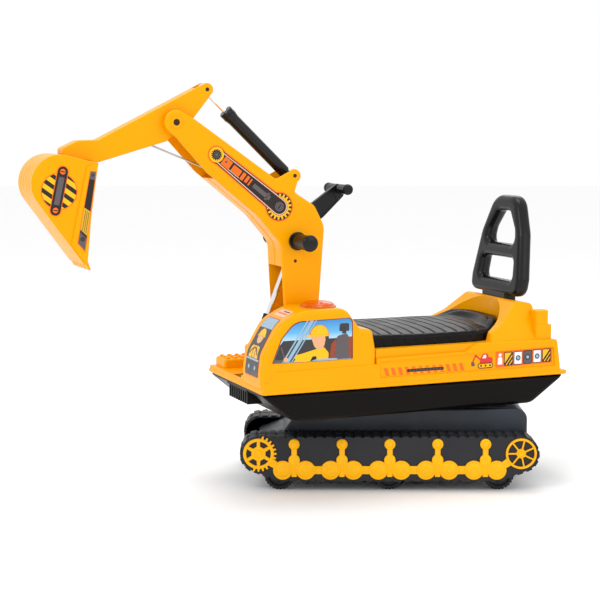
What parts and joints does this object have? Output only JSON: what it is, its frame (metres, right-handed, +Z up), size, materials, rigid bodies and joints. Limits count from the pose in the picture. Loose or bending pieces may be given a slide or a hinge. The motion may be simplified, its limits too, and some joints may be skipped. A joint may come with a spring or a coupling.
{
  "type": "ride on digger",
  "caption": "Ride-on toy digger: tracked base on hidden wheels, slewing body with seat and backrest, lever-worked boom, dipper arm and bucket with dummy rams.",
  "frame": {"origin": "on the ground, under the middle of the bounding box", "axes": "+X along the tracks towards the seat end, +Y across the tracks away from the cab's side, +Z up"},
  "size_m": [0.9034, 0.5096, 0.6731],
  "materials": {
    "body_yellow": "glossy moulded plastic",
    "trim_yellow": "satin moulded plastic",
    "track_grey": "matt moulded plastic",
    "hull_black": "satin moulded plastic",
    "frame_black": "fine textured plastic",
    "grip_black": "fine textured plastic",
    "wheel_black": "matt moulded plastic",
    "beacon_orange": "clear glossy plastic",
    "ram_black": "glossy plastic",
    "chrome": "polished",
    "steel": "bright zinc"
  },
  "bodies": {
    "chassis": {"chassis_frame": "frame_black", "turntable_ring": "frame_black", "king_pin": "steel", "track_shell_left": "track_grey", "track_shell_right": "track_grey", "track_trim_left": "trim_yellow", "track_trim_right": "trim_yellow", "axle_front": "steel", "axle_middle": "steel", "axle_rear": "steel"},
    "wheel_front_left": {"wheel_front_left": "wheel_black"},
    "wheel_front_right": {"wheel_front_right": "wheel_black"},
    "wheel_middle_left": {"wheel_middle_left": "wheel_black"},
    "wheel_middle_right": {"wheel_middle_right": "wheel_black"},
    "wheel_rear_left": {"wheel_rear_left": "wheel_black"},
    "wheel_rear_right": {"wheel_rear_right": "wheel_black"},
    "upper": {"lower_hull": "hull_black", "upper_body": "body_yellow", "seat": "hull_black", "backrest": "frame_black", "beacon": "beacon_orange", "boom_pin": "steel", "lift_foot_pin": "steel"},
    "boom": {"boom_left": "body_yellow", "boom_right": "body_yellow", "grip_bar": "grip_black", "dipper_pin": "steel", "ear_pin": "steel", "boom_ram_pin": "steel", "lever_pin": "steel"},
    "dipper": {"dipper_left": "body_yellow", "dipper_right": "body_yellow", "tail_pin": "steel"},
    "bucket": {"bucket": "body_yellow", "bucket_pin": "steel"},
    "lever": {"lever_arm": "grip_black", "lever_grip": "grip_black"},
    "link": {"link_rod": "steel"},
    "dipper_ram_barrel": {"dipper_ram_barrel": "ram_black"},
    "dipper_ram_rod": {"dipper_ram_rod": "chrome"},
    "boom_ram_barrel": {"boom_ram_barrel": "ram_black"},
    "boom_ram_rod": {"boom_ram_rod": "chrome"}
  },
  "joints": [
    {"name": "slew", "type": "hinge", "parent": "chassis", "child": "upper", "pos_m": [0.1419, 0.0279, 0.134], "axis": [0, 0, 1], "continuous": true},
    {"name": "wheel_front_left_spin", "type": "hinge", "parent": "chassis", "child": "wheel_front_left", "pos_m": [-0.0411, -0.0651, 0.026], "axis": [0, 1, 0], "continuous": true},
    {"name": "wheel_front_right_spin", "type": "hinge", "parent": "chassis", "child": "wheel_front_right", "pos_m": [-0.0411, 0.1209, 0.026], "axis": [0, 1, 0], "continuous": true},
    {"name": "wheel_middle_left_spin", "type": "hinge", "parent": "chassis", "child": "wheel_middle_left", "pos_m": [0.1419, -0.0651, 0.026], "axis": [0, 1, 0], "continuous": true},
    {"name": "wheel_middle_right_spin", "type": "hinge", "parent": "chassis", "child": "wheel_middle_right", "pos_m": [0.1419, 0.1209, 0.026], "axis": [0, 1, 0], "continuous": true},
    {"name": "wheel_rear_left_spin", "type": "hinge", "parent": "chassis", "child": "wheel_rear_left", "pos_m": [0.3249, -0.0651, 0.026], "axis": [0, 1, 0], "continuous": true},
    {"name": "wheel_rear_right_spin", "type": "hinge", "parent": "chassis", "child": "wheel_rear_right", "pos_m": [0.3249, 0.1209, 0.026], "axis": [0, 1, 0], "continuous": true},
    {"name": "boom_lift", "type": "hinge", "parent": "upper", "child": "boom", "pos_m": [-0.01061, -0.03508, 0.212], "axis": [-0.3817, 0.9243, 0], "range_deg": [-28, 8]},
    {"name": "dipper_swing", "type": "hinge", "parent": "boom", "child": "dipper", "pos_m": [-0.21422, -0.11918, 0.6108], "axis": [-0.3817, 0.9243, 0], "range_deg": [-15, 15]},
    {"name": "bucket_curl", "type": "hinge", "parent": "dipper", "child": "bucket", "pos_m": [-0.36183, -0.18014, 0.5525], "axis": [-0.3817, 0.9243, 0], "range_deg": [-25, 35]},
    {"name": "lever_swing", "type": "hinge", "parent": "boom", "child": "lever", "pos_m": [-0.03371, -0.04463, 0.438], "axis": [-0.3817, 0.9243, 0], "range_deg": [-19, 19]},
    {"name": "link_swing", "type": "hinge", "parent": "dipper", "child": "link", "pos_m": [-0.25554, -0.13624, 0.579], "axis": [-0.3817, 0.9243, 0], "range_deg": [-12, 12]},
    {"name": "dipper_ram_swing", "type": "hinge", "parent": "boom", "child": "dipper_ram_barrel", "pos_m": [-0.0278, -0.04218, 0.5238], "axis": [-0.3817, 0.9243, 0], "range_deg": [-1, 1]},
    {"name": "dipper_ram_slide", "type": "slide", "parent": "dipper_ram_barrel", "child": "dipper_ram_rod", "axis": [-0.6663, -0.2752, 0.693], "range_m": [-0.0205, 0.0205]},
    {"name": "boom_ram_swing", "type": "hinge", "parent": "upper", "child": "boom_ram_barrel", "pos_m": [-0.09887, -0.07154, 0.1868], "axis": [-0.3817, 0.9243, 0], "range_deg": [-22, 6.5]},
    {"name": "boom_ram_slide", "type": "slide", "parent": "boom_ram_barrel", "child": "boom_ram_rod", "axis": [0.3381, 0.1396, 0.9307], "range_m": [-0.0455, 0.0125]}
  ],
  "couplings": [
    {"joint": "lever_swing", "follows": "dipper_swing", "ratio": -1.2192},
    {"joint": "link_swing", "follows": "dipper_swing", "ratio": -0.7389},
    {"joint": "dipper_ram_swing", "follows": "dipper_swing", "ratio": -0.0279},
    {"joint": "dipper_ram_slide", "follows": "dipper_swing", "m_per_rad": -0.07647},
    {"joint": "boom_ram_swing", "follows": "boom_lift", "ratio": 0.7668},
    {"joint": "boom_ram_slide", "follows": "boom_lift", "m_per_rad": 0.08684}
  ]
}
